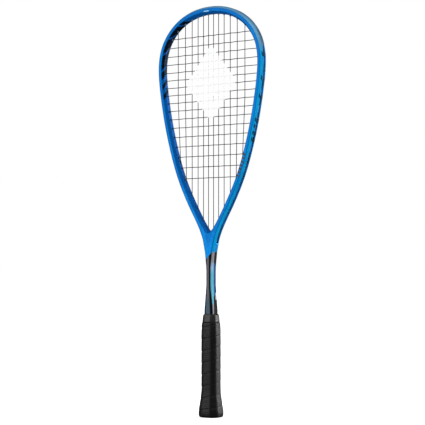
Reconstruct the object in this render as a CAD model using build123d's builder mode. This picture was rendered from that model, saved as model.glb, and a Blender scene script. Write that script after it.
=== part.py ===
from build123d import *
import os
from math import cos, radians, sin, tan

# A strung squash racket, standing on its butt.
# Millimetres. +Z runs from the butt to the tip, X across the string bed, and the front faces -Y.
# The origin is the centre of the butt's end face.

# ---- driving dimensions -------------------------------------------------------------------------
racket_length = 685.0
bumper_crown = 1.0
hoop_top = racket_length - bumper_crown
tube_width = 11.0
tube_depth = 17.0
tube_wall = 1.3
bevel_across = 3.0
bevel_deep = 4.5
groove_width = 5.6
groove_depth = 2.6

# centre line of the hoop's tube, right half, from above the throat to the top
hoop_start = (0.48, 0.88)
hoop_line = [(34.0, 350.0), (57.0, 397.0), (74.5, 449.0), (87.5, 503.0), (96.0, 556.0)]
hoop_line += [(98.2, 588.0), (90.6, 626.0), (72.5, 651.6), (39.0, 672.2), (0.0, hoop_top - tube_width / 2)]
# outer edge of the throat, from the shaft to the first point of the hoop
throat_start = (0.06, 1.0)
throat_edge = [(6.0, 250.0), (8.0, 269.5), (12.0, 290.5), (20.0, 312.5)]
# edge of the opening in the throat: a small round bottom, then out to the hoop's inner edge
throat_bottom = 309.5
throat_round = 4.0
throat_angle = 50.0
throat_inside = [(10.0, 320.0), (20.5, 337.0)]
# how finely the edges are followed, with more points where the throat's small round starts
edge_stations = 14
edge_samples = 600
near_start = [0.002, 0.004, 0.006, 0.009, 0.013, 0.018, 0.024]
beside_steps = 32
on_axis = 0.1

shaft_width = 12.2
shaft_depth = 18.4
shaft_corner = 2.0
shaft_low = 220.0
shaft_high = 250.0
web_mid_high = 275.0
web_top = 300.0
web_overlap = 4.0
web_width = 29.0
web_mid_width = 17.6
web_depth = 16.8
tail_width = 15.4
tail_depth = 18.6
tail_low = 14.0
tail_high = 178.0
shaft_wall = 1.6
inner_corner = 0.6

# the hollow inside the hoop leans a little less than the outside
hollow_lean = 0.2
hollow_bevel = 0.7
hollow_flat = 0.4

string_radius = 0.6
string_lift = 0.1
loop_step = 4.0
loop_start = 3.4
weave_height = 1.6
weave_bend = 2.5
mouth_bend = 1.3
groove_bend = 0.9
loop_bend = 2.0
loop_shift = 1.35
knot_radius = 1.2
knot_lift = 0.8
knot_shift = 0.9
middle_rise = 0.05
smallest_turn = 0.5

# the strings' places: each main's x and its inward lean below a height, and crosses from the top
main_places = [5.0, 15.0, 25.9, 37.9, 51.5, 66.3]
main_leans = [0.0, 0.0, 0.0, 0.0, 0.015, 0.047]
lean_height = 530.0
cross_top = 637.0
cross_gaps = [14.9, 14.3, 13.9, 13.5, 13.1, 12.7, 12.9, 13.1, 13.6, 14.0, 14.8, 15.8, 16.6, 17.4, 18.2, 18.7]

barrel_radius = 1.5
barrel_bore = 1.0
barrel_gap = 0.025
barrel_reach = 1.8
short_reach = 0.6
short_rows = (14, 16)
hole_inside = 1.0
hole_outside = 2.0
outlet_radius = 1.75
mouth_radius = 1.45
strip_thickness = 0.8
strip_spare = 0.3
cut_past = 0.002
strip_width = 5.4
hole_tilt = 30.0
low_main_tilt = 5.0
throat_strip_low = 292.0
throat_strip_high = 388.0
side_strip_low = 393.0
side_strip_high = 611.5
bumper_low = 613.0
groove_low = 289.0
crown_width = 6.9
channel_width = 4.6
groove_rise = 1.3
fit_gap = 0.02
cut_over = 1.0

# the handle: an octagon, described by its size at mid-grip and how far it swells at each height
grip_width = 28.5
grip_depth = 27.0
grip_bevel = 6.3
grip_swell = [(0.0, 2.0), (0.6, 2.4), (1.8, 3.5), (4.0, 4.1), (11.0, 4.0), (19.0, 2.8), (28.0, 1.65)]
grip_swell += [(36.0, 0.75), (44.0, 0.0), (138.0, 0.0), (146.0, -0.25), (153.0, -0.6), (158.0, -0.95)]
grip_swell += [(161.0, -1.25), (170.0, -2.0), (172.0, -2.9)]
grip_low = 0.6
grip_high = 158.0
grip_tail_high = 162.0
grip_thickness = 1.7
grip_tail_inset = 1.2
backing_low = 4.0
backing_high = 157.0
backing_thickness = 0.25
pallet_low = 3.0
pallet_high = 163.6
cap_high = 34.0
cap_floor = 2.8
staple_height = 19.0
staple_size = (5.0, 9.0, 1.0)
staple_wire = 0.7
staple_sink = 0.2
tape_thickness = 0.3
tape_low = 158.2
tape_high = 163.5
collar_low = 158.1
collar_high = 172.0
collar_pocket_high = 164.0
collar_gap = 0.08
plug_length = 22.0

os.makedirs("parts", exist_ok=True)


# ---- curves of the hoop -------------------------------------------------------------------------
def smooth(points, first, last):
    """A spline through points that leaves and arrives along two directions."""
    return Spline(*points, tangents=[first, last], tangent_scalars=[1.0, 1.0])


def evenly(start, end, count):
    return [start + (end - start) * step / count for step in range(count + 1)]


def offset_points(spine, distance, places):
    """Points beside a flat curve, on its outer side when the distance is positive."""
    points = []
    for place in places:
        here = spine @ place
        along = spine % place
        points.append((here.X + along.Y * distance, here.Y - along.X * distance))
    return points


centre_line = smooth(hoop_line, hoop_start, (-1, 0))


def hoop_spine():
    """The outer edge of the frame's right half, from the shaft to the top of the hoop."""
    hoop_edge = offset_points(centre_line, tube_width / 2, evenly(0.0, 1.0, edge_stations))
    return smooth(throat_edge + hoop_edge, throat_start, (-1, 0))


def opening_spine():
    """The edge of the string opening's right half, from the throat's bottom to the top."""
    hoop_edge = offset_points(centre_line, -tube_width / 2, evenly(0.0, 1.0, edge_stations))
    above = throat_bottom + throat_round
    turns = [radians(throat_angle * step / 3) for step in range(4)]
    bottom = [(throat_round * sin(turn), above - throat_round * cos(turn)) for turn in turns]
    return smooth(bottom + throat_inside + hoop_edge, (1, 0), (-1, 0))


outer_edge = hoop_spine()
inner_edge = opening_spine()


def beside(spine, distance, start=0.0, end=1.0):
    """A spline that keeps its distance from an edge of the hoop, with more points near its start."""
    first = spine % start
    last = spine % end
    shares = [0.0] + (near_start if start == 0.0 else []) + evenly(0.0, 1.0, beside_steps)[1:]
    places = [start + (end - start) * share for share in shares]
    points = offset_points(spine, distance, places)
    return smooth(points, (first.X, first.Y), (last.X, last.Y))


def sampled(spine):
    """Places, points and directions along an edge, for finding where a string meets it."""
    table = []
    for place in evenly(0.0, 1.0, edge_samples):
        here = spine @ place
        along = spine % place
        table.append((place, here.X, here.Y, along.X, along.Y))
    return table


outer_table = sampled(outer_edge)
inner_table = sampled(inner_edge)


def crossing(table, distance, start, direction):
    """How far a ray in the string plane runs to the curve beside an edge, and the edge's place."""
    before = None
    for place, x, z, along_x, along_z in table:
        across = x + along_z * distance - start[0]
        up = z - along_x * distance - start[1]
        side = across * direction[1] - up * direction[0]
        reach = across * direction[0] + up * direction[1]
        if before and before[0] * side <= 0 and reach > 0 and before[1] > 0:
            share = before[0] / (before[0] - side)
            return before[1] + (reach - before[1]) * share, before[2] + (place - before[2]) * share
        before = (side, reach, place)
    raise ValueError("the ray misses the edge")


# ---- strings: where each one runs ---------------------------------------------------------------
cross_heights = [cross_top - sum(cross_gaps[:row]) for row in range(len(cross_gaps) + 1)]
string_depth = groove_depth - strip_thickness - string_radius - string_lift


class Port:
    """One string hole of the right half: its bend inside the hoop, its axis and its outlet."""

    def __init__(self, start, direction, tilt, protrusion=barrel_reach):
        near, place = crossing(inner_table, 0.0, start, direction)
        along = inner_edge % place
        normal = (along.Y, -along.X)
        turn = normal[0] * direction[1] - normal[1] * direction[0]
        lean = normal[0] * direction[0] + normal[1] * direction[1]
        axis = direction
        if lean < cos(radians(tilt)):
            angle = radians(tilt if turn > 0 else -tilt)
            axis_x = normal[0] * cos(angle) - normal[1] * sin(angle)
            axis_z = normal[0] * sin(angle) + normal[1] * cos(angle)
            axis = (axis_x, axis_z)
        inside = near - protrusion
        self.axis = axis
        self.mouth = (start[0] + direction[0] * inside, start[1] + direction[1] * inside)
        self.reach, self.place = crossing(outer_table, -string_depth, self.mouth, axis)
        self.outlet = (self.mouth[0] + axis[0] * self.reach, self.mouth[1] + axis[1] * self.reach)


def main_x(index, height):
    """The x of a main string at a height."""
    return main_places[index] - main_leans[index] * max(0.0, lean_height - height)


main_top_ports = []
main_low_ports = []
last_main = len(main_places) - 1
for index, place in enumerate(main_places):
    slope = 1 / (1 + main_leans[index] ** 2) ** 0.5
    down = (-main_leans[index] * slope, -slope)
    tilt = low_main_tilt if index == last_main else hole_tilt
    main_top_ports.append(Port((place, lean_height), (0.0, 1.0), hole_tilt))
    main_low_ports.append(Port((place, lean_height), down, tilt))
cross_ports = []
for row, height in enumerate(cross_heights):
    protrusion = short_reach if row in short_rows else barrel_reach
    cross_ports.append(Port((0.0, height), (1.0, 0.0), hole_tilt, protrusion))


def corner(port, side, shift=0.0):
    """The string's corner in the groove above a port, on the right (1) or the left (-1)."""
    return (port.outlet[0] * side, shift, port.outlet[1])


def mouth(port, side):
    return (port.mouth[0] * side, 0.0, port.mouth[1])


def groove_points(first, second, shift):
    """Points along the groove between two ports of the right half, at a sideways shift."""
    length = outer_edge.length
    ends = sorted((first.place, second.place))
    edge_clear = loop_start / length
    low = ends[0] + edge_clear
    high = ends[1] - edge_clear
    count = max(1, round((high - low) * length / loop_step))
    flat = offset_points(outer_edge, -string_depth, evenly(low, high, count))
    points = [(x, shift, z) for x, z in flat]
    return points if first.place < second.place else points[::-1]


def flip(points):
    return [(-x, y, z) for x, y, z in points]


def rounded_path(corners):
    """Lines and arcs through 3-D corners, each corner given with its own bend radius."""
    points = [Vector(*place) for place, bend in corners]
    here = points[0]
    for index in range(1, len(points) - 1):
        before = (points[index] - points[index - 1]).normalized()
        after = (points[index + 1] - points[index]).normalized()
        turn = radians(before.get_angle(after))
        if turn < radians(smallest_turn):
            continue
        bend = corners[index][1]
        cut = bend * tan(turn / 2)
        into = points[index] - before * cut
        out = points[index] + after * cut
        middle = points[index] + (after - before).normalized() * (bend / cos(turn / 2) - bend)
        Line(here, into)
        ThreePointArc(into, middle, out)
        here = out
    Line(here, points[-1])


def main_corners():
    """The main string, from its knot at the top left to its knot at the top right."""
    right = []
    for index, place in enumerate(main_places):
        top = main_top_ports[index]
        low = main_low_ports[index]
        down = index % 2 == 0
        ends = [top, low] if down else [low, top]
        right.append((corner(ends[0], 1), groove_bend))
        right.append((mouth(ends[0], 1), mouth_bend))
        right.append(((place, 0.0, lean_height), mouth_bend))
        right.append((mouth(ends[1], 1), mouth_bend))
        right.append((corner(ends[1], 1), groove_bend))
        if index < last_main:
            ports = main_low_ports if down else main_top_ports
            loop = groove_points(ports[index], ports[index + 1], -loop_shift)
            right += [(point, loop_bend) for point in loop]
    left = [((-x, y, z), bend) for (x, y, z), bend in reversed(right)]
    middle = [((0.0, -loop_shift, right[0][0][2] + middle_rise), loop_bend)]
    return left + middle + right


def cross_corners():
    """The cross string, woven through the mains, from the top left down to its lower right end."""
    path = []
    last_row = len(cross_heights) - 1
    for row, height in enumerate(cross_heights):
        port = cross_ports[row]
        going = 1 if row % 2 == 0 else -1
        path.append((corner(port, -going), groove_bend))
        path.append((mouth(port, -going), mouth_bend))
        weave = []
        for column in range(-last_main - 1, last_main + 1):
            index = column if column >= 0 else -column - 1
            side = 1 if column >= 0 else -1
            if main_low_ports[index].mouth[1] < height:
                lift = weave_height if (row + column) % 2 == 0 else -weave_height
                weave.append(((side * main_x(index, height), lift, height), weave_bend))
        path += weave if going == 1 else weave[::-1]
        path.append((mouth(port, going), mouth_bend))
        path.append((corner(port, going), groove_bend))
        if row < last_row:
            loop = groove_points(port, cross_ports[row + 1], loop_shift)
            loop = loop if going == 1 else flip(loop)
            path += [(point, loop_bend) for point in loop]
    return path


def make_string(corners, knot_side):
    """One string swept along its corners, with a knot outside each of its two end holes."""
    start = Vector(*corners[0][0])
    ahead = Vector(*corners[1][0]) - start
    with BuildPart() as string:
        with BuildLine() as path:
            rounded_path(corners)
        with BuildSketch(Plane(origin=start, z_dir=ahead)):
            Circle(string_radius)
        sweep(path=path.wire())
        for end, inner in ((corners[0][0], corners[1][0]), (corners[-1][0], corners[-2][0])):
            out = (Vector(*end) - Vector(*inner)).normalized()
            centre = Vector(*end) + out * knot_lift + Vector(0, knot_shift * knot_side, 0)
            with Locations(centre):
                Sphere(knot_radius)
    return string


# ---- frame --------------------------------------------------------------------------------------
def half_slab(edge, insets, half_depth, flat_half):
    """The right half of a slab whose rim leans by the insets from its flat edge to its faces."""
    with BuildPart() as slab:
        for depth, inset in (
            (-half_depth, insets[1]),
            (-flat_half, insets[0]),
            (flat_half, insets[0]),
            (half_depth, insets[1]),
        ):
            curve = beside(edge, inset)
            with BuildSketch(Plane.XZ.offset(depth)):
                with BuildLine():
                    add(curve)
                    Line(curve @ 1, (0, (curve @ 0).Y))
                    if (curve @ 0).X > on_axis:
                        Line((0, (curve @ 0).Y), curve @ 0)
                make_face()
        loft(ruled=True)
    return slab.part


def hoop_body(outer_insets, opening_insets, half_depth, flat_half):
    """The hoop and the throat's web as one bevelled ring around the string opening."""
    with BuildPart() as body:
        add(half_slab(outer_edge, [-inset for inset in outer_insets], half_depth, flat_half))
        add(half_slab(inner_edge, opening_insets, half_depth, flat_half), mode=Mode.SUBTRACT)
        split(bisect_by=Plane.XY.offset(web_top - web_overlap), keep=Keep.TOP)
        mirror(about=Plane.YZ)
    return body.part


def bevelled_block(width, depth):
    """A rectangle with the hoop's bevel at each corner."""
    x = width / 2
    y = depth / 2
    right = [(x - bevel_across, -y), (x, bevel_deep - y), (x, y - bevel_deep), (x - bevel_across, y)]
    left = [(-across, deep) for across, deep in reversed(right)]
    Polygon(*right, *left)


def shaft_stack(wall, low):
    """The shaft with its flare into the handle below and its flare into the throat above."""
    corner_radius = max(shaft_corner - wall, inner_corner)
    stretches = [
        [(low, tail_width, tail_depth), (tail_high, tail_width, tail_depth)],
        [(tail_high, tail_width, tail_depth), (shaft_low, shaft_width, shaft_depth)],
        [(shaft_low, shaft_width, shaft_depth), (shaft_high, shaft_width, shaft_depth)],
        [(shaft_high, shaft_width, shaft_depth), (web_mid_high, web_mid_width, shaft_depth)],
        [(web_mid_high, web_mid_width, shaft_depth), (web_top, web_width, web_depth)],
    ]
    with BuildPart() as stack:
        for stretch in stretches:
            for height, width, depth in stretch:
                with BuildSketch(Plane.XY.offset(height)):
                    if height > tail_high:
                        bevelled_block(width - 2 * wall, depth - 2 * wall)
                    else:
                        RectangleRounded(width - 2 * wall, depth - 2 * wall, corner_radius)
            loft()
    return stack.part


# ---- the string groove, its holes and the grommet strips ----------------------------------------
def place_at(height):
    """The place on the outer edge's rising side at a height."""
    return next(place for place, x, z, along_x, along_z in outer_table if z >= height)


def edge_band(low_offset, high_offset, start, end, half_width):
    """A band that follows the outer edge between two offsets, on the right half."""
    low = beside(outer_edge, low_offset, start, end)
    high = beside(outer_edge, high_offset, start, end)
    with BuildPart() as band:
        with BuildSketch(Plane.XZ):
            with BuildLine():
                add(low)
                add(high)
                Line(low @ 0, high @ 0)
                Line(low @ 1, high @ 1)
            make_face()
        extrude(amount=half_width, both=True)
    return band.part


def rods(ports, radius, start, past_outlet):
    """Round rods along the string holes of the right half."""
    with BuildPart() as group:
        for port in ports:
            across = port.mouth[0] + port.axis[0] * start
            up = port.mouth[1] + port.axis[1] * start
            with BuildSketch(Plane(origin=(across, 0, up), z_dir=(port.axis[0], 0, port.axis[1]))):
                Circle(radius)
            extrude(amount=port.reach + past_outlet - start)
    return group.part


def turning_room(places, radius):
    """Round hollows where the strings turn, at places in the string plane."""
    with BuildPart() as group:
        for x, z in places:
            with Locations((x, 0, z)):
                Sphere(radius)
    return group.part


def grommet_strip(ports, start, end, crown):
    """A strip in the groove with one barrel through the frame for every string."""
    floor = -groove_depth + fit_gap
    top = -groove_depth + strip_thickness
    with BuildPart() as strip:
        add(edge_band(floor, crown or top + strip_spare, start, end, strip_width / 2))
        if crown:
            add(edge_band(fit_gap, crown, start, end, crown_width / 2))
        add(rods(ports, barrel_radius, 0.0, 0.0))
        channel = channel_width / 2 if crown else groove_width / 2
        cut_end = min(end + cut_past, 1.0)
        add(edge_band(top, groove_depth, start - cut_past, cut_end, channel), mode=Mode.SUBTRACT)
        add(rods(ports, barrel_bore, -cut_over, cut_over), mode=Mode.SUBTRACT)
        add(turning_room([port.outlet for port in ports], outlet_radius), mode=Mode.SUBTRACT)
        sharp_mouths = [port.mouth for port in ports if port is main_low_ports[last_main]]
        if sharp_mouths:
            add(turning_room(sharp_mouths, mouth_radius), mode=Mode.SUBTRACT)
    return strip.part


all_ports = main_top_ports + main_low_ports + cross_ports
tip = 1.0
throat_range = (place_at(throat_strip_low), place_at(throat_strip_high))
side_range = (place_at(side_strip_low), place_at(side_strip_high))
bumper_range = (place_at(bumper_low), tip)


def ports_in(low, high):
    return [port for port in all_ports if low < port.place < high]


with BuildPart() as bumper_guard:
    add(grommet_strip(ports_in(*bumper_range), *bumper_range, bumper_crown))
    mirror(about=Plane.YZ)
bumper_guard.part.label = "bumper_guard"
export_step(bumper_guard.part, "parts/bumper_guard.step")

for strip_name, strip_range in (("side", side_range), ("throat", throat_range)):
    right_strip = grommet_strip(ports_in(*strip_range), *strip_range, 0.0)
    for side in ("right", "left"):
        strip_label = f"{strip_name}_grommet_strip_{side}"
        with BuildPart() as strip:
            if side == "right":
                add(right_strip)
            else:
                mirror(right_strip, about=Plane.YZ, mode=Mode.ADD)
        strip.part.label = strip_label
        export_step(strip.part, f"parts/{strip_label}.step")

# ---- frame --------------------------------------------------------------------------------------
flat_half = tube_depth / 2 - bevel_deep
outer_wall = groove_depth + tube_wall
hollow_half = tube_depth / 2 - tube_wall
hollow_insets = (tube_wall, bevel_across + hollow_bevel)
outer_insets = (outer_wall, outer_wall + hollow_lean)
hoop_slab = hoop_body((0.0, bevel_across), (0.0, bevel_across), tube_depth / 2, flat_half)
hoop_hollow = hoop_body(outer_insets, hollow_insets, hollow_half, flat_half - hollow_flat)
groove = edge_band(-groove_depth, groove_rise, place_at(groove_low), tip, groove_width / 2)
holes = rods(all_ports, barrel_radius + barrel_gap, -hole_inside, hole_outside)

with BuildPart() as frame:
    add(hoop_slab)
    add(shaft_stack(0.0, tail_low))
    add(hoop_hollow, mode=Mode.SUBTRACT)
    add(shaft_stack(shaft_wall, tail_low), mode=Mode.SUBTRACT)
    add(groove, mode=Mode.SUBTRACT)
    add(holes, mode=Mode.SUBTRACT)
    mirror(groove, about=Plane.YZ, mode=Mode.SUBTRACT)
    mirror(holes, about=Plane.YZ, mode=Mode.SUBTRACT)
frame.part.label = "frame"
export_step(frame.part, "parts/frame.step")

# ---- strings ------------------------------------------------------------------------------------
main_string = make_string(main_corners(), -1)
main_string.part.label = "main_string"
export_step(main_string.part, "parts/main_string.step")

cross_string = make_string(cross_corners(), 1)
cross_string.part.label = "cross_string"
export_step(cross_string.part, "parts/cross_string.step")


# ---- handle -------------------------------------------------------------------------------------
def swell_at(height):
    """How far the handle's octagon stands outside its mid-grip size at a height."""
    for (low, first), (high, second) in zip(grip_swell, grip_swell[1:]):
        if height <= high:
            return first + (second - first) * (height - low) / (high - low)
    return grip_swell[-1][1]


def octagon(growth):
    """The corners of the handle's octagon, grown evenly on every side."""
    x = grip_width / 2 + growth
    y = grip_depth / 2 + growth
    leg = grip_bevel + growth * (2 - 2**0.5)
    quarter = [(x, y - leg), (x - leg, y)]
    top = quarter + [(-across, up) for across, up in reversed(quarter)]
    return top + [(-across, -up) for across, up in top]


def handle_layer(low, high, inset, straight=False):
    """A solid octagonal layer of the handle between two heights, inset from the grip's surface."""
    heights = [low] + [height for height, swell in grip_swell if low < height < high] + [high]
    with BuildPart() as layer:
        for height in heights:
            swell = min(swell_at(height), 0.0) if straight else swell_at(height)
            with BuildSketch(Plane.XY.offset(height)):
                Polygon(*octagon(swell - inset))
        loft(ruled=True)
    return layer.part


def tail_block(low, high, gap):
    """A block of the frame's tail section, grown by a gap."""
    with BuildPart() as block:
        with BuildSketch(Plane.XY.offset(low)):
            RectangleRounded(tail_width + 2 * gap, tail_depth + 2 * gap, shaft_corner + gap)
        extrude(amount=high - low)
    return block.part


backing_inset = grip_thickness + fit_gap
core_inset = backing_inset + backing_thickness + fit_gap

with BuildPart() as butt_cap_staples:
    cap_side = grip_width / 2 + swell_at(staple_height) - core_inset
    leg_length, crown_length, wire_width = staple_size
    for side in (-1, 1):
        crown_x = side * (cap_side - staple_sink - staple_wire / 2)
        with Locations((crown_x, 0, staple_height)):
            Box(staple_wire, crown_length, wire_width)
        leg_x = side * (cap_side - staple_sink - leg_length / 2)
        leg_y = crown_length / 2 - staple_wire / 2
        with Locations((leg_x, -leg_y, staple_height), (leg_x, leg_y, staple_height)):
            Box(leg_length, staple_wire, wire_width)
butt_cap_staples.part.label = "butt_cap_staples"
export_step(butt_cap_staples.part, "parts/butt_cap_staples.step")

with BuildPart() as butt_cap:
    add(handle_layer(0.0, cap_high, core_inset))
    add(handle_layer(cap_floor, cap_high + cut_over, core_inset - fit_gap, True), mode=Mode.SUBTRACT)
    add(butt_cap_staples.part, mode=Mode.SUBTRACT)
butt_cap.part.label = "butt_cap"
export_step(butt_cap.part, "parts/butt_cap.step")

for side_name, keep in (("right", Keep.TOP), ("left", Keep.BOTTOM)):
    with BuildPart() as handle_pallet:
        add(handle_layer(pallet_low, pallet_high, core_inset, True))
        add(tail_block(tail_low - fit_gap, pallet_high + cut_over, fit_gap), mode=Mode.SUBTRACT)
        add(butt_cap_staples.part, mode=Mode.SUBTRACT)
        split(bisect_by=Plane.YZ, keep=keep)
    handle_pallet.part.label = f"handle_pallet_{side_name}"
    export_step(handle_pallet.part, f"parts/handle_pallet_{side_name}.step")

with BuildPart() as tail_plug:
    with BuildSketch(Plane.XY.offset(tail_low)):
        clear = shaft_wall + fit_gap
        RectangleRounded(tail_width - 2 * clear, tail_depth - 2 * clear, inner_corner)
    extrude(amount=plug_length)
tail_plug.part.label = "tail_plug"
export_step(tail_plug.part, "parts/tail_plug.step")

with BuildPart() as grip_backing_tape:
    add(handle_layer(backing_low, backing_high, backing_inset))
    add(handle_layer(backing_low, backing_high, backing_inset + backing_thickness), mode=Mode.SUBTRACT)
grip_backing_tape.part.label = "grip_backing_tape"
export_step(grip_backing_tape.part, "parts/grip_backing_tape.step")

with BuildPart() as grip:
    add(handle_layer(grip_low, grip_high, 0.0))
    add(handle_layer(grip_high, grip_tail_high, grip_tail_inset))
    add(handle_layer(grip_low, grip_tail_high, grip_thickness), mode=Mode.SUBTRACT)
grip.part.label = "grip"
export_step(grip.part, "parts/grip.step")

tape_inset = grip_tail_inset - fit_gap
with BuildPart() as finishing_tape:
    add(handle_layer(tape_low, tape_high, tape_inset - tape_thickness))
    add(handle_layer(tape_low, tape_high, tape_inset), mode=Mode.SUBTRACT)
finishing_tape.part.label = "finishing_tape"
export_step(finishing_tape.part, "parts/finishing_tape.step")

with BuildPart() as grip_collar:
    add(handle_layer(collar_low, collar_high, 0.0))
    pocket_inset = tape_inset - tape_thickness - collar_gap
    add(handle_layer(collar_low, collar_pocket_high, pocket_inset), mode=Mode.SUBTRACT)
    add(tail_block(collar_low, collar_high, collar_gap), mode=Mode.SUBTRACT)
grip_collar.part.label = "grip_collar"
export_step(grip_collar.part, "parts/grip_collar.step")
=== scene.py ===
import math

import bpy
import numpy as np
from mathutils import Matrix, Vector


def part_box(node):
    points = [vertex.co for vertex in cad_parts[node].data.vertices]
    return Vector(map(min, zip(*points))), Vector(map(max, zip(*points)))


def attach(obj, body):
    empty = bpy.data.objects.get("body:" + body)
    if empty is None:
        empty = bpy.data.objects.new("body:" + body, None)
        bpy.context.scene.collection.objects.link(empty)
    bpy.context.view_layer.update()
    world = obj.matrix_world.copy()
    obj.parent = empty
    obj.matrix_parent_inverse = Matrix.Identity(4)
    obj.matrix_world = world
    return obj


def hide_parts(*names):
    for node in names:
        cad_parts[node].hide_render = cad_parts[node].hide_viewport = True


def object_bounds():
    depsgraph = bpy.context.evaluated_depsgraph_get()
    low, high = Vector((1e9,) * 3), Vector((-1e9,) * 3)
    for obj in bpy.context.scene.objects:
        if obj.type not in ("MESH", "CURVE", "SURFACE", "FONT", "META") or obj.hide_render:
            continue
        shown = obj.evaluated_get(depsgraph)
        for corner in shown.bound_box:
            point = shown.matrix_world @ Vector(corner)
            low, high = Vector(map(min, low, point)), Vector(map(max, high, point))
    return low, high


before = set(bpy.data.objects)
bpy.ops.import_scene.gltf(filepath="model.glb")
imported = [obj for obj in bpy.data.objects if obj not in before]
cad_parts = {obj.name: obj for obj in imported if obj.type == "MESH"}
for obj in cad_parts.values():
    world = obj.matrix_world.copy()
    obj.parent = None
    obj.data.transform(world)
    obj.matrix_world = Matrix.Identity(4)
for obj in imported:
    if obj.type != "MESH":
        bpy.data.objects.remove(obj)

# A squash racket standing on its butt. The shared frame is in metres: +Z runs from the butt to the
# tip, X across the string bed, and the front faces -Y. Sizes below are in millimetres, except in
# the floor, light and camera part, which is in metres.
MM = 0.001
cad_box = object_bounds()


def box_mm(node):
    """The lowest and highest corner of a CAD node, in millimetres."""
    low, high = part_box(node)
    return np.array(low) / MM, np.array(high) / MM


# ---- colours, as display values from 0 to 255 ----------------------------------------------------
def tint(red, green, blue):
    """A display colour as the linear colour that the shader takes."""
    share = np.array([red, green, blue]) / 255
    linear = np.where(share <= 0.04045, share / 12.92, ((share + 0.055) / 1.055) ** 2.4)
    return (*[float(channel) for channel in linear], 1.0)


BLUE = tint(0, 118, 204)
BLUE_BRIGHT = tint(0, 146, 232)
BLUE_BEVEL = tint(14, 186, 255)
BLUE_DEEP = tint(0, 94, 176)
BLUE_INSIDE = tint(0, 80, 156)
BLUE_OUTSIDE = tint(0, 104, 166)
# a pale blue, used as a painted highlight round the top of the hoop
BLUE_RIM_HIGHLIGHT = tint(120, 166, 196)
BLUE_SHEEN = tint(110, 190, 255)
BLUE_PALE = tint(150, 200, 235)
TEAL = tint(0, 58, 84)
TEAL_PALE = tint(98, 178, 200)
TEAL_STRONG = tint(36, 138, 184)
NAVY = tint(4, 36, 104)
BLACK = tint(12, 12, 14)
BLACK_BLUE = tint(10, 30, 56)
# the next grey serves the arm patch and is also a painted highlight down the shaft; the steel blue after
# it is that painted highlight low on the shaft
GRAPHITE_AND_HIGHLIGHT = tint(96, 96, 104)
STEEL_BLUE_HIGHLIGHT = tint(70, 90, 104)
SIDE_GREY = tint(138, 140, 146)
SIDE_ICE = tint(150, 182, 212)
WHITE = tint(215, 218, 235)


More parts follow.
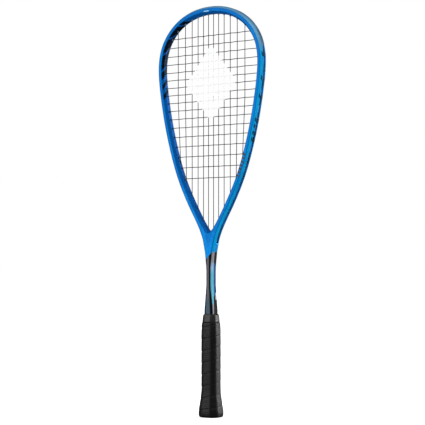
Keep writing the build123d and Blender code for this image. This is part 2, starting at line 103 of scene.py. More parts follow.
# ---- node materials ------------------------------------------------------------------------------
class Finish:
    """A node-based material whose patterns are placed in the object's own millimetres."""

    def __init__(self, name):
        self.material = bpy.data.materials.new(name)
        self.material.use_nodes = True
        tree = self.material.node_tree
        self.nodes = tree.nodes
        self.links = tree.links
        self.shader = tree.nodes["Principled BSDF"]
        coordinates = self.node("ShaderNodeTexCoord")
        self.normal = coordinates.outputs["Normal"]
        self.place = self.vector("SCALE", coordinates.outputs["Object"], scale=1 / MM)
        self.x, self.y, self.z = self.parts(self.place)

    def node(self, kind, **inputs):
        made = self.nodes.new(kind)
        for name, value in inputs.items():
            self.put(made.inputs[name], value)
        return made

    def put(self, socket, value):
        """Links a node's output to a socket, or sets the socket to a plain value."""
        if isinstance(value, bpy.types.NodeSocket):
            self.links.new(value, socket)
        else:
            socket.default_value = value

    def parts(self, vector):
        """The x, y and z of a vector, or the channels of a colour."""
        return self.node("ShaderNodeSeparateXYZ", Vector=vector).outputs

    def join(self, x, y, z):
        return self.node("ShaderNodeCombineXYZ", X=x, Y=y, Z=z).outputs[0]

    def vector(self, operation, first, second=None, scale=None):
        made = self.node("ShaderNodeVectorMath")
        made.operation = operation
        self.put(made.inputs[0], first)
        if second is not None:
            self.put(made.inputs[1], second)
        if scale is not None:
            self.put(made.inputs["Scale"], scale)
        return made.outputs["Value" if operation == "DOT_PRODUCT" else "Vector"]

    def math(self, operation, *values):
        made = self.node("ShaderNodeMath")
        made.operation = operation
        for socket, value in zip(made.inputs, values):
            self.put(socket, value)
        return made.outputs[0]

    def both(self, *masks):
        """All the masks at once."""
        result = masks[0]
        for mask in masks[1:]:
            result = self.math("MULTIPLY", result, mask)
        return result

    def either(self, *masks):
        """The strongest of the masks."""
        result = masks[0]
        for mask in masks[1:]:
            result = self.math("MAXIMUM", result, mask)
        return result

    def without(self, mask):
        return self.math("SUBTRACT", 1.0, mask)

    def above(self, value, limit, soft=0.4):
        """0 below a limit and 1 above it, with a soft edge."""
        made = self.node("ShaderNodeMapRange", Value=value)
        made.interpolation_type = "SMOOTHSTEP"
        self.put(made.inputs["From Min"], self.math("SUBTRACT", limit, soft))
        self.put(made.inputs["From Max"], self.math("ADD", limit, soft))
        return made.outputs[0]

    def below(self, value, limit, soft=0.4):
        return self.without(self.above(value, limit, soft))

    def between(self, value, low, high, soft=0.4):
        return self.both(self.above(value, low, soft), self.below(value, high, soft))

    def ramp(self, value, low, high, first=0.0, last=1.0):
        """A straight change from one value to another across a range."""
        made = self.node("ShaderNodeMapRange", Value=value)
        ends = {"From Min": low, "From Max": high, "To Min": first, "To Max": last}
        for name, number in ends.items():
            self.put(made.inputs[name], number)
        return made.outputs[0]

    def stripes(self, value, pitch, share, soft=0.06):
        """1 along a share of every pitch of a value."""
        turn = self.math("FRACT", self.math("DIVIDE", value, pitch))
        return self.between(turn, soft, share, soft)

    def mix(self, share, first, second):
        """The first colour at a share of 0 and the second at 1."""
        made = self.node("ShaderNodeMix")
        made.data_type = "RGBA"
        self.put(made.inputs[0], share)
        self.put(made.inputs[6], first)
        self.put(made.inputs[7], second)
        return made.outputs[2]

    def noise(self, size, detail=2.0, stretch=(1.0, 1.0, 1.0)):
        """Soft noise from 0 to 1, with features of a size in millimetres."""
        spot = self.vector("MULTIPLY", self.place, tuple(1 / (size * share) for share in stretch))
        return self.node("ShaderNodeTexNoise", Vector=spot, Scale=1.0, Detail=detail).outputs[0]

    def cell_outputs(self, size):
        """Cells of a size in millimetres, with a centre scattered in each."""
        spot = self.vector("SCALE", self.place, scale=1 / size)
        return self.node("ShaderNodeTexVoronoi", Vector=spot, Scale=1.0).outputs

    def cells(self, size):
        """Distance to the nearest cell centre, in cells of a size in millimetres."""
        return self.cell_outputs(size)["Distance"]

    def speckle(self, size):
        """A different random value for each small cell."""
        return self.parts(self.cell_outputs(size)["Color"])[0]

    def bump(self, height, depth):
        """Surface relief of a depth in millimetres."""
        made = self.node("ShaderNodeBump", Height=height, Distance=depth * MM, Strength=1.0)
        self.put(self.shader.inputs["Normal"], made.outputs[0])

    def set(self, **inputs):
        """Shader inputs, with _ for the spaces in their names."""
        for name, value in inputs.items():
            self.put(self.shader.inputs[name.replace("_", " ")], value)
        return self.material


# The hoop is widest at this height. Above it, its half width and rise give the outward direction,
# and below it, the arms lean in a little more with each millimetre down.
WIDEST = 588.0
HALF_WIDTH = 98.0
RISE = 86.0
ARM_LEAN = 0.0021


def outward_share(f):
    """1 on faces that look away from the string bed, -1 on faces that look into it, 0 on the front."""
    over = f.math("SUBTRACT", f.z, WIDEST)
    top = f.math("MULTIPLY", f.math("MAXIMUM", over, 0.0), 1 / RISE)
    low = f.math("MULTIPLY", f.math("MINIMUM", over, 0.0), ARM_LEAN)
    arched = f.math("MULTIPLY", f.x, 1 / HALF_WIDTH)
    across = f.ramp(f.math("GREATER_THAN", over, 0.0), 0.0, 1.0, f.math("SIGN", f.x), arched)
    away = f.vector("NORMALIZE", f.join(across, 0.0, f.math("ADD", top, low)))
    return f.vector("DOT_PRODUCT", f.normal, away)


def slanted(f, value, across, slope):
    """A height or a turn that leans with the distance across a face, for slanted marks."""
    return f.math("ADD", value, f.math("MULTIPLY", across, slope))


# ---- the frame's paint ---------------------------------------------------------------------------
# plain marks on the hoop: heights in millimetres, and turns from the top in degrees
STREAK_PITCH = 9.0
STREAK_HEIGHTS = (335.0, 480.0)
DASH_HEIGHTS = ((589.0, 596.0), (550.0, 557.0), (521.0, 528.0))
DASH_ROW = (449.0, 491.0)
DASH_PITCH = 10.5
DASH_HALF_DEPTH = 6.4
BAR_CENTRE = 575.0
BAR_REACH = (97.0, 100.0)
BAR_ROW = (24.0, 88.0)
BAR_PITCH = 16.0
BAR_TURNS = ((93.0, 98.0), (103.0, 108.0))
PATCH_HEIGHTS = (396.0, 437.0)
PATCH_PITCH = 7.5
PALE_DASH = ((-9.0, 1.0), (675.5, 677.6))


def lower_streaks(f, hoop, front):
    """Thin slanted streaks where the arms rise from the throat."""
    lines = f.stripes(slanted(f, f.z, f.math("ABSOLUTE", f.x), -1.5), STREAK_PITCH, 0.16)
    streak = f.both(lines, f.between(f.z, *STREAK_HEIGHTS, 20.0), f.above(front, 0.5, 0.2))
    return f.mix(f.math("MULTIPLY", streak, 0.5), hoop, BLUE_INSIDE)


def outer_dashes(f, hoop, outward):
    """Dark slanted dashes along the outer faces."""
    deep = f.math("ABSOLUTE", f.y)
    dash_at = slanted(f, f.z, deep, -0.8)
    single = [f.between(dash_at, *heights) for heights in DASH_HEIGHTS]
    row = f.both(f.between(dash_at, *DASH_ROW), f.stripes(dash_at, DASH_PITCH, 0.62))
    dashes = f.both(f.either(*single, row), f.above(outward, 0.5, 0.1), f.below(deep, DASH_HALF_DEPTH))
    return f.mix(f.math("MULTIPLY", dashes, 0.85), hoop, TEAL)


def inner_bars(f, hoop, outward):
    """Plain black bars inside one side of the hoop."""
    reach_across, reach_up = BAR_REACH
    rise = f.math("DIVIDE", f.math("SUBTRACT", f.z, BAR_CENTRE), reach_up)
    across = f.math("DIVIDE", f.math("ABSOLUTE", f.x), reach_across)
    turn = f.math("DEGREES", f.math("ARCTAN2", across, rise))
    lean = slanted(f, turn, f.y, 0.7)
    row = f.both(f.between(lean, *BAR_ROW, 0.5), f.stripes(lean, BAR_PITCH, 0.9, 0.03))
    single = [f.between(lean, *turns, 0.5) for turns in BAR_TURNS]
    bars = f.both(f.either(row, *single), f.below(outward, -0.6, 0.15), f.below(f.x, 0.0))
    return f.mix(bars, hoop, f.mix(f.ramp(f.noise(4.0), 0.4, 0.7), BLACK, BLACK_BLUE))


def arm_patch(f, hoop, outward):
    """A black patch cut by slanted lines, on one lower arm of each face."""
    one_arm = f.below(f.math("MULTIPLY", f.math("SIGN", f.x), f.y), -1.0)
    patch = f.both(f.between(f.z, *PATCH_HEIGHTS, 1.0), one_arm, f.below(outward, 0.3, 0.1))
    cut = f.stripes(slanted(f, f.z, f.math("ABSOLUTE", f.x), 0.9), PATCH_PITCH, 0.66)
    return f.mix(f.both(patch, cut), hoop, f.mix(f.noise(3.0), BLACK, GRAPHITE_AND_HIGHLIGHT))


def hoop_graphics(f, hoop, outward, front):
    """Plain blocks, dashes and streaks on the blue hoop. None of them is a letter."""
    hoop = lower_streaks(f, hoop, front)
    hoop = outer_dashes(f, hoop, outward)
    hoop = inner_bars(f, hoop, outward)
    hoop = arm_patch(f, hoop, outward)
    dash_across, dash_heights = PALE_DASH
    pale = f.both(f.between(f.x, *dash_across), f.between(f.z, *dash_heights), f.above(front, 0.5))
    return f.mix(pale, hoop, BLUE_PALE)


# The shaft's paint: heights up the shaft, and depths behind its middle on the +X side. The other
# side is the same, turned by half a turn.
SHAFT_LOW = 178.0
PANEL_FADES = (262.0, 250.0, 238.0)
PANEL_GREY_BELOW = (190.0, 187.0)
PANEL_DEPTHS = (-7.9, -3.2)
PANEL_LOW_START = -6.6
PANEL_FLARE_TOP = 210.0
FLANK_HEIGHTS = (203.0, 256.0)
FLANK_START = -4.0
FLANK_TURNS_NAVY = -0.4
MARK_HEIGHTS = (196.0, 207.5)
MARK_DEPTHS = (3.0, 5.6)
# a painted highlight down the shaft's front and back: the height where its taper ends, its half widths,
# its shift, and where it turns steel blue
HIGHLIGHT_FLARE_TOP = 220.0
HIGHLIGHT_HALVES = (4.0, 2.0)
HIGHLIGHT_SHIFT = 0.3
HIGHLIGHT_STEEL_BELOW = 198.0


def shaft_sides(f):
    """The shaft's side: a panel that fades down through grey, ice, teal and grey, with blue behind."""
    fore = f.math("MULTIPLY", f.y, f.math("SIGN", f.x))
    high, middle, low = PANEL_FADES
    panel = f.mix(f.ramp(f.z, high, middle), SIDE_GREY, SIDE_ICE)
    panel = f.mix(f.ramp(f.z, middle, low), panel, TEAL_PALE)
    panel = f.mix(f.ramp(f.z, *PANEL_GREY_BELOW), panel, SIDE_GREY)
    panel_start = f.ramp(f.z, SHAFT_LOW, PANEL_FLARE_TOP, PANEL_LOW_START, PANEL_DEPTHS[0])
    on_panel = f.both(f.above(fore, panel_start, 0.9), f.below(fore, PANEL_DEPTHS[1], 1.0))
    flank = f.mix(f.below(fore, FLANK_TURNS_NAVY, 1.6), NAVY, TEAL_STRONG)
    on_flank = f.both(f.between(f.z, *FLANK_HEIGHTS, 4.0), f.above(fore, FLANK_START, 0.8))
    rear = f.mix(on_flank, BLACK, flank)
    mark = f.both(f.between(f.z, *MARK_HEIGHTS, 0.8), f.between(fore, *MARK_DEPTHS, 0.5))
    return f.mix(mark, f.mix(on_panel, rear, panel), WHITE)


def shaft_paint(f, front):
    """Black, with a painted highlight down the middle of the front and the back, grey turning steel blue
    low down, and a panel on each side.
    """
    # painted highlight: a grey band down the middle of the front and back faces, steel blue low on the
    # shaft
    half = f.ramp(f.z, SHAFT_LOW, HIGHLIGHT_FLARE_TOP, *HIGHLIGHT_HALVES)
    off_middle = f.math("ABSOLUTE", f.math("ADD", f.x, HIGHLIGHT_SHIFT))
    on_highlight = f.below(f.math("SUBTRACT", off_middle, half), 0.0, 0.8)
    face_highlight = f.mix(f.below(f.z, HIGHLIGHT_STEEL_BELOW, 8.0), GRAPHITE_AND_HIGHLIGHT, STEEL_BLUE_HIGHLIGHT)
    faces = f.mix(on_highlight, BLACK, face_highlight)
    return f.mix(f.above(front, 0.93, 0.05), shaft_sides(f), faces)


# painted shade in the throat: the tip of its wedge, how fast the wedge widens, and the heights it spans
WEDGE_TIP = 288.0
WEDGE_SLOPE = 0.32
WEDGE_HEIGHTS = (290.0, 312.0)


def throat_painted_shade(f, hoop, front):
    """Painted shade: a darker wedge below the string opening, darker still along its edges, where the two
    arms run into each other.
    """
    over_tip = f.math("SUBTRACT", f.z, WEDGE_TIP)
    wedge_half = f.math("ADD", f.math("MULTIPLY", over_tip, WEDGE_SLOPE), 0.5)
    off_edge = f.math("SUBTRACT", f.math("ABSOLUTE", f.x), wedge_half)
    inside = f.both(f.below(off_edge, 0.0, 0.8), f.between(f.z, *WEDGE_HEIGHTS, 3.0))
    crease_shade = f.both(f.between(off_edge, -0.9, 0.5, 0.6), f.between(f.z, *WEDGE_HEIGHTS, 5.0))
    # painted shade: the wedge is a little darker, and its edges are darker still
    wedge = f.either(f.math("MULTIPLY", inside, 0.35), f.math("MULTIPLY", crease_shade, 0.7))
    return f.mix(f.both(wedge, f.above(front, 0.9, 0.05)), hoop, BLUE_DEEP)


# where the hoop's blues change, as heights in millimetres
DARKER_LEFTWARDS_ABOVE = 350.0
RIM_ABOVE = 606.0
TOP_SHADE_ABOVE = 640.0
EDGE_SHADE_BELOW = 470.0
# the blue starts at a slanted edge across the top of the shaft, which levels off at both ends
BLUE_START = 267.7
BLUE_START_SLOPE = 1.03
BLUE_START_LOWEST = 260.5
BLUE_START_HIGHEST = 275.5


def hoop_blues(f, outward, front):
    """Each face of the bevelled tube gets its own blue, varying along the hoop and darker towards the
    left, with painted highlights and painted shade.
    """
    flow = f.ramp(f.noise(22.0, 2.0, (1.0, 1.0, 3.5)), 0.4, 0.65)
    hoop = f.mix(f.math("MULTIPLY", flow, 0.8), BLUE, BLUE_BRIGHT)
    # darker towards the left, above a height on the arms
    darker_leftwards = f.math("MULTIPLY", f.above(f.z, DARKER_LEFTWARDS_ABOVE, 30.0), f.ramp(f.x, 20.0, -90.0, 0.0, 0.5))
    hoop = f.mix(darker_leftwards, hoop, BLUE_DEEP)
    hoop = f.mix(f.above(outward, 0.5, 0.25), hoop, f.mix(flow, BLUE_BEVEL, BLUE_BRIGHT))
    hoop = f.mix(f.above(outward, 0.92, 0.05), hoop, BLUE_OUTSIDE)
    hoop = f.mix(f.below(outward, -0.5, 0.25), hoop, BLUE_DEEP)
    hoop = f.mix(f.below(outward, -0.92, 0.05), hoop, BLUE_INSIDE)
    # painted highlight: a paler blue on the outward faces round the top of the hoop
    rim_highlight = f.both(f.above(f.z, RIM_ABOVE, 10.0), f.above(outward, 0.45, 0.2))
    hoop = f.mix(f.math("MULTIPLY", rim_highlight, 0.75), hoop, BLUE_RIM_HIGHLIGHT)
    # painted shade: a deeper blue on the front and inner faces round the top of the hoop
    ring_painted_shade = f.both(f.above(f.z, TOP_SHADE_ABOVE, 25.0), f.below(outward, 0.4, 0.2))
    hoop = f.mix(f.math("MULTIPLY", ring_painted_shade, 0.6), hoop, BLUE_DEEP)
    # painted shade: a deeper blue where the faces turn from the front into the bevels, low on the hoop
    edge_shade = f.both(f.between(front, 0.62, 0.97, 0.03), f.below(f.z, EDGE_SHADE_BELOW, 60.0))
    return f.mix(f.math("MULTIPLY", edge_shade, 0.6), hoop, BLUE_DEEP)


def frame_paint():
    """Metallic blue over black composite, with plain graphic blocks, a painted highlight down the shaft,
    and painted highlights and painted shade on the hoop.
    """
    f = Finish("frame_paint")
    outward = outward_share(f)
    front = f.math("ABSOLUTE", f.parts(f.normal)[1])
    hoop = throat_painted_shade(f, hoop_blues(f, outward, front), front)
    hoop = hoop_graphics(f, hoop, outward, front)

    edge = f.math("ADD", f.math("MULTIPLY", f.x, BLUE_START_SLOPE), BLUE_START)
    edge = f.math("MINIMUM", f.math("MAXIMUM", edge, BLUE_START_LOWEST), BLUE_START_HIGHEST)
    blue_part = f.above(f.z, edge, 0.8)
    colour = f.mix(blue_part, shaft_paint(f, front), hoop)
    fleck = f.ramp(f.speckle(0.35), 0.0, 1.0, 0.9, 1.1)
    colour = f.vector("SCALE", colour, scale=fleck)
    f.bump(f.noise(0.5), 0.01)
    scuff = f.ramp(f.noise(7.0, 4.0), 0.3, 0.7, 0.34, 0.46)
    return f.set(
        Base_Color=colour,
        Metallic=f.math("MULTIPLY", blue_part, 0.35),
        Roughness=scuff,
        Specular_IOR_Level=f.ramp(blue_part, 0.0, 1.0, 0.05, 0.2),
        Specular_Tint=f.mix(blue_part, WHITE, BLUE_SHEEN),
        Coat_Weight=0.04,
        Coat_Roughness=0.2,
    )


def moulded(name, colour, darker, roughness, grain=0.6, coat=0.0):
    """A moulded plastic or rubber: fine grain, slow colour drift, slightly uneven gloss."""
    f = Finish(name)
    darker_leftwards = f.noise(12.0, 3.0)
    f.bump(f.noise(grain, 3.0), 0.03)
    return f.set(
        Base_Color=f.mix(f.ramp(darker_leftwards, 0.35, 0.65), darker, colour),
        Roughness=f.ramp(f.noise(5.0, 3.0), 0.3, 0.7, roughness - 0.06, roughness + 0.08),
        Coat_Weight=coat,
        Coat_Roughness=0.3,
    )


DIAMOND_CENTRE = 558.0
DIAMOND_HALF_WIDTH = 50.0
DIAMOND_HALF_HEIGHT = 64.0
STRING_TWIST = 5.2


def string_material():
    """Dark twisted multifilament, with a plain white diamond painted on the string bed, which also glows a
    little as painted light.
    """
    f = Finish("string_twist")
    across = f.math("DIVIDE", f.math("ABSOLUTE", f.x), DIAMOND_HALF_WIDTH)
    off_centre = f.math("ABSOLUTE", f.math("SUBTRACT", f.z, DIAMOND_CENTRE))
    up = f.math("DIVIDE", off_centre, DIAMOND_HALF_HEIGHT)
    diamond = f.below(f.math("ADD", across, up), 1.0, 0.02)
    worn = f.ramp(f.noise(1.1, 3.0), 0.3, 0.42)
    paint_and_glow = f.both(diamond, worn)
    along = f.math("ADD", f.math("ADD", f.x, f.z), f.y)
    twist = f.math("SINE", f.math("MULTIPLY", along, STRING_TWIST))
    strand = f.ramp(twist, -1.0, 1.0)
    f.bump(strand, 0.05)
    dark = f.mix(strand, tint(6, 6, 8), tint(22, 22, 25))
    return f.set(
        Base_Color=f.mix(paint_and_glow, dark, tint(236, 238, 242)),
        Roughness=f.ramp(paint_and_glow, 0.0, 1.0, 0.5, 0.75),
        # painted light: the white diamond glows a little, though it is no lamp
        Emission_Color=(1.0, 1.0, 1.0, 1.0),
        Emission_Strength=f.math("MULTIPLY", paint_and_glow, 0.12),
    )


PALER_TOWARDS = 140.0


def grip_material():
    """Matte black cushioned PU with a leathery grain, a little paler in patches and up the handle."""
    f = Finish("grip_pu")
    grain = f.cells(0.55)
    pores = f.noise(0.28, 3.0)
    height = f.math("ADD", f.math("MULTIPLY", grain, 0.6), f.math("MULTIPLY", pores, 0.5))
    f.bump(height, 0.09)
    wear = f.ramp(f.noise(16.0, 4.0), 0.35, 0.7)
    upward = f.ramp(f.z, 0.0, PALER_TOWARDS)
    colour = f.mix(f.math("MULTIPLY", wear, 0.6), tint(4, 4, 5), tint(13, 13, 14))
    colour = f.mix(f.math("MULTIPLY", upward, 0.35), colour, tint(16, 16, 17))
    return f.set(
        Base_Color=colour,
        Roughness=f.ramp(f.noise(4.0, 3.0), 0.3, 0.7, 0.38, 0.5),
        Specular_IOR_Level=0.66,
    )


THREADS_ROUND = 90.0
THREADS_UP = 8.0


def woven_tape(name, colour, darker):
    """A thin tape with a fine square weave."""
    f = Finish(name)
    around = f.math("SINE", f.math("MULTIPLY", f.math("ARCTAN2", f.y, f.x), THREADS_ROUND))
    upward = f.math("SINE", f.math("MULTIPLY", f.z, THREADS_UP))
    weave = f.ramp(f.math("MULTIPLY", around, upward), -1.0, 1.0)
    f.bump(weave, 0.05)
    return f.set(Base_Color=f.mix(weave, darker, colour), Roughness=0.6)


def brushed_steel():
    """Drawn wire, brushed along its length."""
    f = Finish("brushed_steel")
    lines = f.noise(0.4, 2.0, (1.0, 6.0, 1.0))
    f.bump(lines, 0.01)
    return f.set(
        Base_Color=f.mix(lines, tint(150, 150, 152), tint(200, 200, 202)),
        Metallic=1.0,
        Roughness=f.ramp(lines, 0.3, 0.7, 0.25, 0.45),
    )


def closed_foam():
    """Rigid moulded foam with small pores."""
    f = Finish("pallet_foam")
    pores = f.cells(1.1)
    f.bump(pores, 0.2)
    return f.set(Base_Color=f.mix(pores, tint(120, 104, 72), tint(196, 182, 142)), Roughness=0.85)


def finish_node(name, material, voxel=None, rounds=0, regain=0.0):
    """A material for a CAD node, with softened edges and their lost size regained where asked."""
    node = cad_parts[name]
    node.data.materials.clear()
    node.data.materials.append(material)
    if voxel:
        remesh = node.modifiers.new("soft_edges", "REMESH")
        remesh.mode = "VOXEL"
        remesh.voxel_size = voxel * MM
        remesh.use_smooth_shade = True
        smooth = node.modifiers.new("relax", "SMOOTH")
        smooth.factor = 0.5
        smooth.iterations = rounds
    if regain:
        grow = node.modifiers.new("regain", "DISPLACE")
        grow.mid_level = 0.0
        grow.strength = regain * MM


# ---- meshes made here ----------------------------------------------------------------------------
def new_piece(name, points, faces, material, body):
    """A smooth-shaded mesh piece from points in millimetres, riding on a CAD body."""
    mesh = bpy.data.meshes.new(name)
    mesh.from_pydata((np.asarray(points) * MM).tolist(), [], faces)
    mesh.validate()
    mesh.shade_smooth()
    mesh.materials.append(material)
    piece = bpy.data.objects.new(name, mesh)
    bpy.context.scene.collection.objects.link(piece)
    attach(piece, body)
    return piece


def ring_faces(rows, columns):
    """Quads over a grid that closes both round its columns and round its rows."""
    row, column = np.meshgrid(np.arange(rows), np.arange(columns), indexing="ij")
    here = row * columns
    over = (row + 1) % rows * columns
    after = (column + 1) % columns
    quads = np.stack([here + column, here + after, over + after, over + column])
    return quads.reshape(4, -1).T.tolist()


def ring_points(radius, turn, height):
    """Points at a radius and a turn about the handle's axis, at a height."""
    return np.stack([radius * np.cos(turn), radius * np.sin(turn), height], axis=-1)


# the handle's octagon at mid-grip: its half sizes, the leg of its slanted faces, and its corners
GRIP_HALF_X = 14.25
GRIP_HALF_Y = 13.5
GRIP_BEVEL = 6.3
CORNER_SHARPNESS = 15.0


def octagon_radius(turn, growth, sharpness=CORNER_SHARPNESS):
    """How far the handle's soft-cornered octagon reaches at a turn about its axis."""
    half_x = GRIP_HALF_X + growth
    half_y = GRIP_HALF_Y + growth
    leg = GRIP_BEVEL + growth * (2 - math.sqrt(2))
    half_slant = (half_x + half_y - leg) / math.sqrt(2)
    planes = ((0.0, half_x), (math.pi / 2, half_y), (math.pi / 4, half_slant), (-math.pi / 4, half_slant))
    total = 0.0
    for angle, reach in planes:
        total = total + np.abs(np.cos(turn - angle) / reach) ** sharpness
    return total ** (-1 / sharpness)


# how far the handle stands beyond its mid-grip size, as pairs of a height and a swelling
BUTT_FLARE = ((0.0, 2.0), (0.6, 2.4), (1.8, 3.5), (4.0, 4.1), (11.0, 4.0))
FLARE_TO_GRIP = ((19.0, 2.8), (28.0, 1.65), (36.0, 0.75), (44.0, 0.0))
GRIP_TO_COLLAR = ((138.0, 0.0), (146.0, -0.25), (153.0, -0.6), (158.0, -0.95))
COLLAR_TO_SHAFT = ((161.0, -1.25), (170.0, -2.0), (172.0, -2.9))
swell_heights, swellings = zip(*BUTT_FLARE, *FLARE_TO_GRIP, *GRIP_TO_COLLAR, *COLLAR_TO_SHAFT)
EASE_REACH = 3.0
EASE_SHIFTS = (-1.0, -0.5, 0.0, 0.5, 1.0)


def swell(height):
    """The handle's swelling at a height, eased over a few millimetres."""
    total = 0.0
    reach = np.minimum(EASE_REACH, np.asarray(height) * 0.5)
    for shift in EASE_SHIFTS:
        total = total + np.interp(height + shift * reach, swell_heights, swellings)
    return total / len(EASE_SHIFTS)


# the wrapped tape, in millimetres: its seams, how far it stands out, its pinholes and its ribs
WRAP_PITCH = 19.6
SEAM_WIDTH = 1.5
SEAM_DEPTH = 0.4
LIP_RISE = 0.25
PLUMP = 0.85
BUTT_PLUMP = 0.5
DOT_COUNT = 26
DOT_ROWS = 5
DOT_DEPTH = 0.34
DOT_SPREAD = 0.28
RIB_RISE = 0.09
HANDLE_GIRTH = 88.0


def wrap_relief(turn, height):
    """The wrapped grip's surface: a lipped seam each turn, fine ribs and rows of pinholes."""
    across = height / WRAP_PITCH - turn / (2 * math.pi)
    share = across - np.floor(across)
    seam_share = SEAM_WIDTH / WRAP_PITCH
    from_seam = np.minimum(share, 1 - share) / seam_share
    groove = SEAM_DEPTH * np.exp(-from_seam**2)
    lip = LIP_RISE * (1 - share) ** 2
    along = turn * DOT_COUNT / (2 * math.pi)
    row = share * (DOT_ROWS + 1)
    near_row = np.clip(np.round(row), 1, DOT_ROWS)
    shifted = along + 0.5 * (near_row % 2)
    off_along = (shifted - np.round(shifted)) * HANDLE_GIRTH / DOT_COUNT
    off_across = (row - near_row) * WRAP_PITCH / (DOT_ROWS + 1)
    dots = DOT_DEPTH * np.exp(-(off_along**2 + off_across**2) / DOT_SPREAD)
    ribs = RIB_RISE * np.cos(2 * math.pi * row)
    return lip - groove - dots - ribs


# the grip's mesh, its inner face below the octagon, and how it thins towards the collar
GRIP_ROWS = 430
GRIP_COLUMNS = 240
INNER_FACE = 1.68
TAIL_DROP = 1.8
THINNEST = 0.25
BUTT_PLUMP_TOP = 40.0
BUTT_PLUMP_FADE = 30.0


def grip_piece(material):
    """The cushion grip: a wrapped sleeve with an inner and an outer face, rounded over the butt."""
    low, high = box_mm("grip")
    tail = box_mm("grip_collar")[0][2]
    heights = np.linspace(low[2], high[2], GRIP_ROWS)
    turns = np.linspace(0, 2 * math.pi, GRIP_COLUMNS, endpoint=False)
    height, turn = np.meshgrid(heights, turns, indexing="ij")
    growth = swell(height)
    under_collar = np.clip((height - (tail - 0.5)) / 0.5, 0, 1)
    # the relief fades out at the butt's edge and at the collar
    calm = np.clip((height - 5) / 5, 0, 1) * np.clip((tail - 1.5 - height) / 2, 0, 1)
    plump = PLUMP + BUTT_PLUMP * np.clip((BUTT_PLUMP_TOP - height) / BUTT_PLUMP_FADE, 0, 1)
    outer = octagon_radius(turn, growth + plump) + wrap_relief(turn, height) * calm
    outer = outer - TAIL_DROP * under_collar
    inner = octagon_radius(turn, growth - INNER_FACE)
    outer = np.maximum(outer, inner + THINNEST)
    outer_face = ring_points(outer, turn, height)
    inner_face = ring_points(inner, turn, height)[::-1]
    points = np.concatenate([outer_face.reshape(-1, 3), inner_face.reshape(-1, 3)])
    faces = ring_faces(GRIP_ROWS * 2, GRIP_COLUMNS)
    piece = new_piece("grip_wrap", points, faces, material, "racket")
    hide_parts("grip")


BLOCK_SHARPNESS = 14.0


def rounded_block_radius(turn, half_x, half_y):
    """The reach of a soft-cornered rectangle at a turn about its axis."""
    across = np.abs(np.cos(turn) / half_x) ** BLOCK_SHARPNESS
    along = np.abs(np.sin(turn) / half_y) ** BLOCK_SHARPNESS
    return (across + along) ** (-1 / BLOCK_SHARPNESS)


# the collar's mesh and outline, then the pocket below that covers the grip's end
COLLAR_COLUMNS = 192
COLLAR_SIDE_ROWS = 26
COLLAR_TOP_STEPS = 9
COLLAR_SWELL = 0.25
COLLAR_SHARPNESS = 14.0
COLLAR_TOP_ROUND = 2.4
COLLAR_OPENING_HALVES = (7.78, 9.38)
COLLAR_CROWN = 0.9
EDGE_DEPTH = 0.35
EDGE_REACH = 0.5
BEAD_HEIGHT = 2.2
BEAD_RISE = 0.22
BEAD_REACH = 0.9
POCKET_DEPTH = 5.9
POCKET_INSET = 0.8
POCKET_TAPER = 0.6


def collar_side(turns, low, high):
    """Rows up the collar's outside: a softened lower edge, a faint bead, and the handle's swelling."""
    rows = []
    for height in np.linspace(low, high, COLLAR_SIDE_ROWS):
        edge = EDGE_DEPTH * math.exp(-(((height - low) / EDGE_REACH) ** 2))
        bead = BEAD_RISE * math.exp(-(((height - low - BEAD_HEIGHT) / BEAD_REACH) ** 2))
        reach = octagon_radius(turns, float(swell(height)) + COLLAR_SWELL, COLLAR_SHARPNESS)
        rows.append((reach - edge + bead, height))
    return rows


def collar_top(opening, shoulder, high):
    """Rows that round over from the collar's shoulder to the opening round the shaft."""
    rows = []
    crown = opening + COLLAR_CROWN
    for step in range(1, COLLAR_TOP_STEPS + 1):
        turn = math.pi / 2 * step / COLLAR_TOP_STEPS
        radius = crown + (shoulder - crown) * math.cos(turn)
        rows.append((radius, high - COLLAR_TOP_ROUND + COLLAR_TOP_ROUND * math.sin(turn)))
    rows.append((opening + 0.35, high - 0.1))
    rows.append((opening, high - 0.6))
    return rows


def collar_pocket(turns, opening, low):
    """Rows down the inside: past the shaft, then out over the grip's tail to the lower edge."""
    pocket_high = low + POCKET_DEPTH
    growth = float(swell(low)) - POCKET_INSET
    narrow = np.maximum(octagon_radius(turns, growth - POCKET_TAPER), opening)
    wide = octagon_radius(turns, growth)
    return [(opening, pocket_high), (narrow, pocket_high), (wide, low)]


def collar_piece(material):
    """The rubber collar: a smooth ring that tapers to the shaft, hollow over the grip's tail."""
    low, high = box_mm("grip_collar")
    turns = np.linspace(0, 2 * math.pi, COLLAR_COLUMNS, endpoint=False)
    opening = rounded_block_radius(turns, *COLLAR_OPENING_HALVES)
    rows = collar_side(turns, low[2], high[2] - COLLAR_TOP_ROUND)
    shoulder = rows[-1][0]
    rows += collar_top(opening, shoulder, high[2])
    rows += collar_pocket(turns, opening, low[2])
    rings = [ring_points(radius, turns, np.full(COLLAR_COLUMNS, height)) for radius, height in rows]
    points = np.concatenate(rings)
    faces = ring_faces(len(rows), COLLAR_COLUMNS)
    piece = new_piece("collar_ring", points, faces, material, "collar")
    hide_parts("grip_collar")


# ---- the pieces ----------------------------------------------------------------------------------
plastic_black = moulded("cap_plastic", tint(34, 34, 36), tint(22, 22, 24), roughness=0.45)
rubber_black = moulded("collar_rubber", tint(40, 40, 42), tint(26, 26, 28), 0.38, grain=0.4, coat=0.25)
grommet_blue = moulded("grommet_plastic", tint(30, 104, 156), tint(14, 78, 126), 0.45, grain=0.5)
bumper_blue = moulded("bumper_plastic", tint(104, 142, 168), tint(76, 118, 150), 0.42, grain=0.5, coat=0.2)
plug_rubber = moulded("plug_rubber", tint(52, 50, 48), tint(36, 34, 33), roughness=0.7)
strings = string_material()

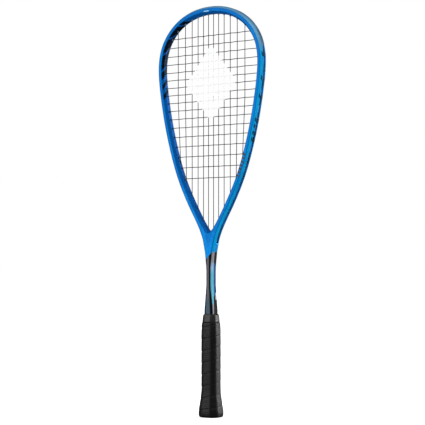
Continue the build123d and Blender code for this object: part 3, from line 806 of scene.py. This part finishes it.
finish_node("frame", frame_paint(), voxel=0.55, rounds=3, regain=0.3)
finish_node("bumper_guard", bumper_blue, voxel=0.35, rounds=2)
for strip in ("side", "throat"):
    for side in ("left", "right"):
        finish_node(f"{strip}_grommet_strip_{side}", grommet_blue)
finish_node("main_string", strings)
finish_node("cross_string", strings)
for side in ("left", "right"):
    finish_node(f"handle_pallet_{side}", closed_foam())
finish_node("tail_plug", plug_rubber)
finish_node("butt_cap", plastic_black)
finish_node("butt_cap_staples", brushed_steel())
finish_node("grip_backing_tape", woven_tape("backing_tape", tint(210, 196, 150), tint(170, 152, 108)))
finish_node("finishing_tape", woven_tape("finishing_tape", tint(40, 40, 42), tint(20, 20, 22)))
grip_piece(grip_material())
collar_piece(rubber_black)


# ---- floor, light and camera, in metres ----------------------------------------------------------
VIEW_TURN = math.radians(33.0)
CAMERA_DISTANCE = 2.168
CAMERA_HEIGHT = 0.253
FLOOR_REACH = 60.0
FLOOR_DROP = 0.0002
FLOOR_GLOW = 0.75
# the floor and the surround are dark in reflections, so that the black parts keep dark edges
FLOOR_GLOSS = 0.08
WORLD_GLOSS = 0.04
WORLD_FILL = 0.75


def towards(angle, distance, height):
    """A place round the racket, at an angle to the right of the camera's direction."""
    turn = VIEW_TURN + math.radians(angle)
    return Vector((math.sin(turn) * distance, -math.cos(turn) * distance, height))


def soft_light(name, angle, distance, height, aim_height, size, watts):
    """A large rectangular softbox that faces the racket."""
    lamp = bpy.data.lights.new(name, "AREA")
    lamp.shape = "RECTANGLE"
    lamp.size, lamp.size_y = size
    lamp.energy = watts
    light = bpy.data.objects.new(name, lamp)
    light.location = towards(angle, distance, height)
    aim = Vector((0, 0, aim_height)) - light.location
    light.rotation_euler = aim.to_track_quat("-Z", "Y").to_euler()
    bpy.context.scene.collection.objects.link(light)


def pale_floor():
    """Near-white paper that glows a little for the camera and stays dark in reflections."""
    pale = Finish("pale_floor")
    rays = pale.node("ShaderNodeLightPath").outputs
    paper = pale.ramp(pale.noise(40.0, 3.0), 0.3, 0.7, 0.78, 0.82)
    paper = pale.math("MULTIPLY", paper, pale.ramp(rays["Is Glossy Ray"], 0.0, 1.0, 1.0, FLOOR_GLOSS))
    glow = pale.math("MULTIPLY", rays["Is Camera Ray"], FLOOR_GLOW)
    pale.set(Emission_Color=(1.0, 1.0, 1.0, 1.0), Emission_Strength=glow)
    return pale.set(Base_Color=pale.join(paper, paper, paper), Roughness=0.9)


def lay_floor():
    """A wide flat floor just under the racket, for the picture only."""
    mesh = bpy.data.meshes.new("floor")
    signs = ((-1, -1), (1, -1), (1, 1), (-1, 1))
    corners = [(across * FLOOR_REACH, along * FLOOR_REACH, 0) for across, along in signs]
    mesh.from_pydata(corners, [], [(0, 1, 2, 3)])
    mesh.materials.append(pale_floor())
    floor = bpy.data.objects.new("floor", mesh)
    floor.location.z = cad_box[0].z - FLOOR_DROP
    bpy.context.scene.collection.objects.link(floor)


def white_surround():
    """A surround that is white to the camera, softer as a light, and dark in reflections."""
    world = bpy.data.worlds.new("studio")
    bpy.context.scene.world = world
    world.use_nodes = True
    tree = world.node_tree
    rays = tree.nodes.new("ShaderNodeLightPath").outputs
    background = tree.nodes["Background"]
    background.inputs["Color"].default_value = (1.0, 1.0, 1.0, 1.0)
    as_light = tree.nodes.new("ShaderNodeMix")
    as_light.inputs["A"].default_value = WORLD_GLOSS
    as_light.inputs["B"].default_value = WORLD_FILL
    tree.links.new(rays["Is Diffuse Ray"], as_light.inputs["Factor"])
    seen = tree.nodes.new("ShaderNodeMix")
    seen.inputs["B"].default_value = 1.0
    tree.links.new(rays["Is Camera Ray"], seen.inputs["Factor"])
    tree.links.new(as_light.outputs["Result"], seen.inputs["A"])
    tree.links.new(seen.outputs["Result"], background.inputs["Strength"])


def camera():
    """A level camera a little over a third of the way up, turned so that the +X side shows."""
    lens = bpy.data.cameras.new("camera")
    lens.sensor_width = 36.0
    lens.lens = 110.0
    lens.shift_x = 0.0034
    lens.shift_y = 0.1247
    eye = bpy.data.objects.new("camera", lens)
    eye.location = towards(0, CAMERA_DISTANCE, CAMERA_HEIGHT)
    eye.rotation_euler = (math.radians(90), 0, VIEW_TURN)
    bpy.context.scene.collection.objects.link(eye)
    bpy.context.scene.camera = eye


lay_floor()
white_surround()
soft_light("key_left", angle=-66, distance=1.5, height=0.55, aim_height=0.35, size=(0.5, 1.5), watts=6.2)
soft_light("rim_right", angle=104, distance=1.5, height=0.5, aim_height=0.35, size=(0.4, 1.5), watts=17)
soft_light("top", angle=20, distance=0.8, height=1.7, aim_height=0.4, size=(1.0, 1.0), watts=5)
camera()
bpy.context.scene.view_settings.view_transform = "Standard"
